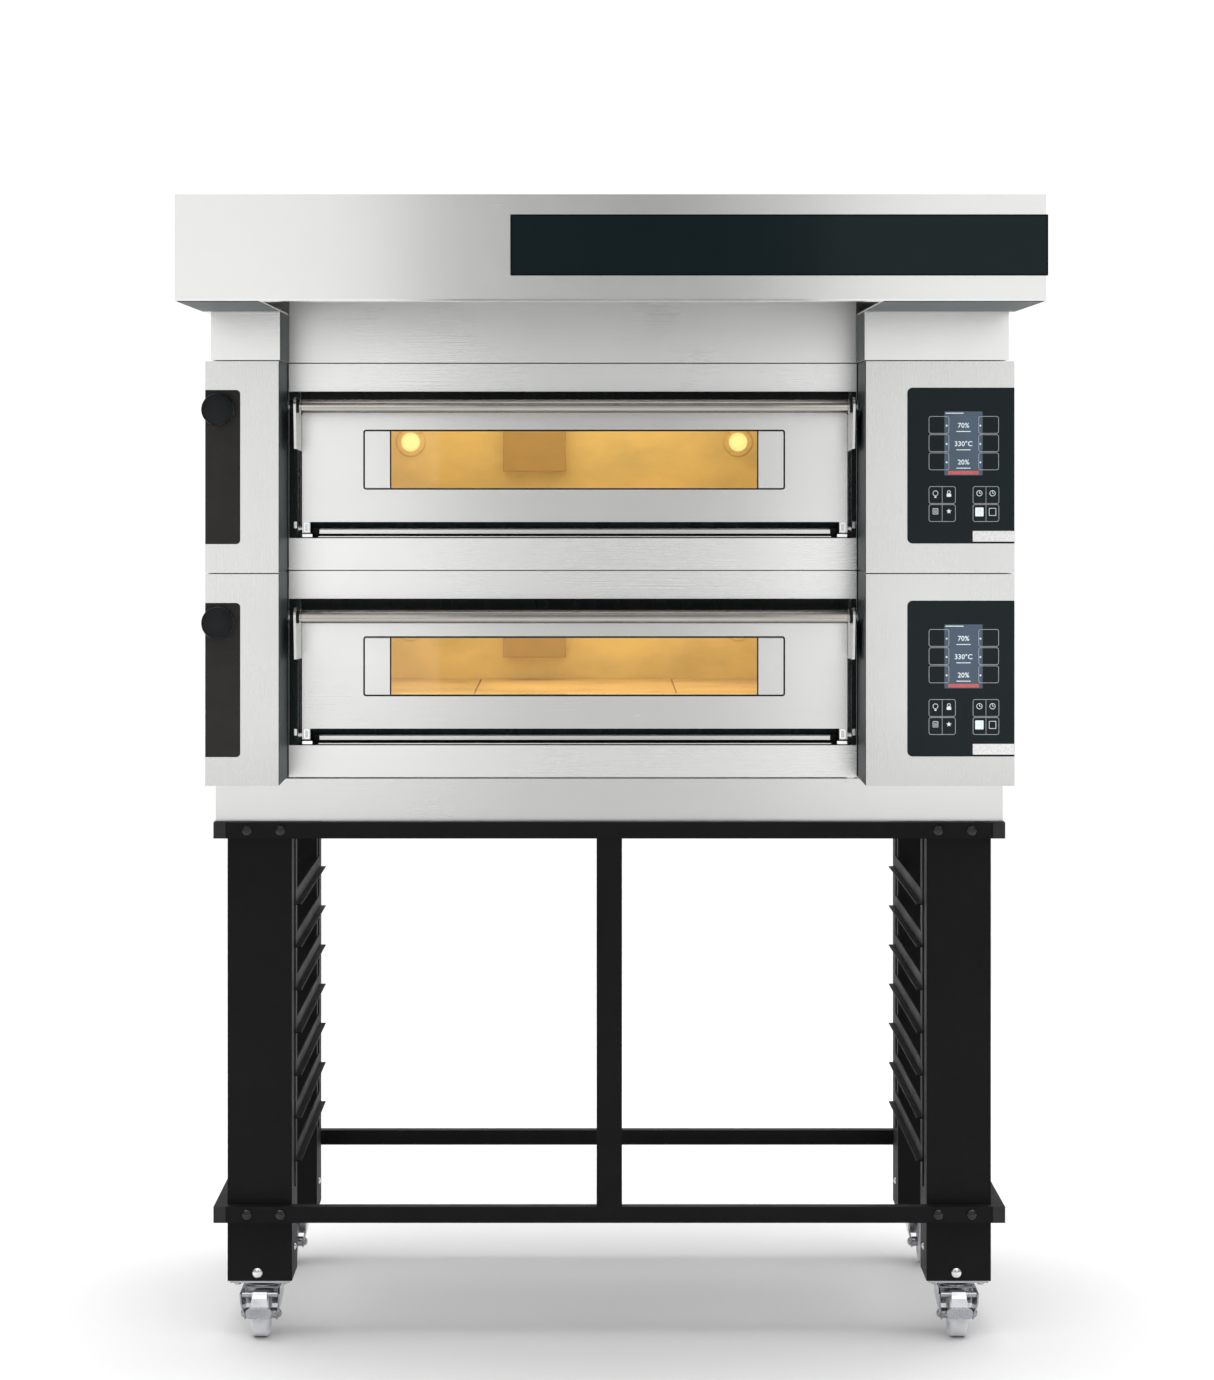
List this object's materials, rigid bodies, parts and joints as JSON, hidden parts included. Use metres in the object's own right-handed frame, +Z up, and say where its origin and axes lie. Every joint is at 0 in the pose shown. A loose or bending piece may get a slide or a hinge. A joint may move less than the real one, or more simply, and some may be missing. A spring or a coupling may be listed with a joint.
{
  "type": "double deck electric pizza oven",
  "caption": "Two-deck electric pizza oven with glazed drop-down doors, pull handles and touch controls, under a fume hood, on a castored open stand with tray ledges.",
  "frame": {"origin": "on the floor under the middle of the object's box", "axes": "+Z up, the doors face -Y, +X is to the right of someone facing the doors"},
  "size_m": [1.384, 1.38, 2.0113],
  "materials": {
    "stand_black": "satin black powder coat",
    "zinc": "bright zinc plate",
    "castor_tread": "pale hard tread",
    "brushed_steel": "fine brushed grain",
    "black_gloss": "high gloss",
    "chamber_steel": "heat-tinted",
    "refractory": "dry fired surface",
    "element_steel": "oxidised",
    "insert_black": "matte",
    "knob_black": "satin moulded",
    "control_glass": "black-backed gloss glass",
    "door_glass": "clear",
    "handle_steel": "polished round bar"
  },
  "bodies": {
    "oven": {"stand_top_frame": "stand_black", "stand_bottom_frame": "stand_black", "centre_post": "stand_black", "tray_rack_left": "stand_black", "tray_rack_right": "stand_black", "leg_front_left": "stand_black", "leg_front_right": "stand_black", "leg_rear_left": "stand_black", "leg_rear_right": "stand_black", "castor_plate_front_left": "zinc", "castor_plate_front_right": "zinc", "castor_plate_rear_left": "zinc", "castor_plate_rear_right": "zinc", "plinth": "brushed_steel", "hood_plenum": "brushed_steel", "hood_canopy": "brushed_steel", "duct_collar": "brushed_steel", "lower_left_casing": "brushed_steel", "lower_right_casing": "brushed_steel", "lower_deck_body": "brushed_steel", "lower_rear_cover": "brushed_steel", "upper_left_casing": "brushed_steel", "upper_right_casing": "brushed_steel", "upper_deck_body": "brushed_steel", "upper_rear_cover": "brushed_steel", "hood_plate": "black_gloss", "lower_chamber_liner": "chamber_steel", "upper_chamber_liner": "chamber_steel", "lower_baking_stone": "refractory", "upper_baking_stone": "refractory", "lower_heater_top": "element_steel", "lower_heater_bottom": "element_steel", "upper_heater_top": "element_steel", "upper_heater_bottom": "element_steel", "lower_damper_insert": "insert_black", "upper_damper_insert": "insert_black", "lower_control_panel": "control_glass", "upper_control_panel": "control_glass"},
    "lower_door": {"lower_door_panel": "brushed_steel", "lower_door_glass": "door_glass", "lower_handle_bar": "handle_steel", "lower_handle_arm_left": "brushed_steel", "lower_handle_arm_right": "brushed_steel"},
    "lower_damper": {"lower_damper_knob": "knob_black"},
    "upper_door": {"upper_door_panel": "brushed_steel", "upper_door_glass": "door_glass", "upper_handle_bar": "handle_steel", "upper_handle_arm_left": "brushed_steel", "upper_handle_arm_right": "brushed_steel"},
    "upper_damper": {"upper_damper_knob": "knob_black"},
    "castor_front_left": {"castor_fork_front_left": "zinc"},
    "wheel_front_left": {"castor_wheel_front_left": "castor_tread"},
    "brake_left": {"brake_pedal_left": "zinc"},
    "castor_front_right": {"castor_fork_front_right": "zinc"},
    "wheel_front_right": {"castor_wheel_front_right": "castor_tread"},
    "brake_right": {"brake_pedal_right": "zinc"},
    "castor_rear_left": {"castor_fork_rear_left": "zinc"},
    "wheel_rear_left": {"castor_wheel_rear_left": "castor_tread"},
    "castor_rear_right": {"castor_fork_rear_right": "zinc"},
    "wheel_rear_right": {"castor_wheel_rear_right": "castor_tread"}
  },
  "joints": [
    {"name": "lower_door_hinge", "type": "hinge", "parent": "oven", "child": "lower_door", "pos_m": [-0.06, -0.118, 1.05], "axis": [1, 0, 0], "range_deg": [0, 90]},
    {"name": "lower_damper_pull", "type": "slide", "parent": "oven", "child": "lower_damper", "axis": [0, -1, 0], "range_m": [0, 0.06]},
    {"name": "upper_door_hinge", "type": "hinge", "parent": "oven", "child": "upper_door", "pos_m": [-0.06, -0.118, 1.41], "axis": [1, 0, 0], "range_deg": [0, 90]},
    {"name": "upper_damper_pull", "type": "slide", "parent": "oven", "child": "upper_damper", "axis": [0, -1, 0], "range_m": [0, 0.06]},
    {"name": "castor_front_left_swivel", "type": "hinge", "parent": "oven", "child": "castor_front_left", "pos_m": [-0.6077, -0.0817, 0.09], "axis": [0, 0, 1], "continuous": true},
    {"name": "wheel_front_left_spin", "type": "hinge", "parent": "castor_front_left", "child": "wheel_front_left", "pos_m": [-0.6077, -0.1077, 0.04], "axis": [1, 0, 0], "continuous": true},
    {"name": "brake_left_lift", "type": "hinge", "parent": "castor_front_left", "child": "brake_left", "pos_m": [-0.6077, -0.1337, 0.078], "axis": [-1, 0, 0], "range_deg": [0, 25]},
    {"name": "castor_front_right_swivel", "type": "hinge", "parent": "oven", "child": "castor_front_right", "pos_m": [0.6077, -0.0817, 0.09], "axis": [0, 0, 1], "continuous": true},
    {"name": "wheel_front_right_spin", "type": "hinge", "parent": "castor_front_right", "child": "wheel_front_right", "pos_m": [0.6077, -0.1077, 0.04], "axis": [1, 0, 0], "continuous": true},
    {"name": "brake_right_lift", "type": "hinge", "parent": "castor_front_right", "child": "brake_right", "pos_m": [0.6077, -0.1337, 0.078], "axis": [-1, 0, 0], "range_deg": [0, 25]},
    {"name": "castor_rear_left_swivel", "type": "hinge", "parent": "oven", "child": "castor_rear_left", "pos_m": [-0.6077, 0.4863, 0.09], "axis": [0, 0, 1], "continuous": true},
    {"name": "wheel_rear_left_spin", "type": "hinge", "parent": "castor_rear_left", "child": "wheel_rear_left", "pos_m": [-0.6077, 0.4603, 0.04], "axis": [1, 0, 0], "continuous": true},
    {"name": "castor_rear_right_swivel", "type": "hinge", "parent": "oven", "child": "castor_rear_right", "pos_m": [0.6077, 0.4863, 0.09], "axis": [0, 0, 1], "continuous": true},
    {"name": "wheel_rear_right_spin", "type": "hinge", "parent": "castor_rear_right", "child": "wheel_rear_right", "pos_m": [0.6077, 0.4603, 0.04], "axis": [1, 0, 0], "continuous": true}
  ]
}
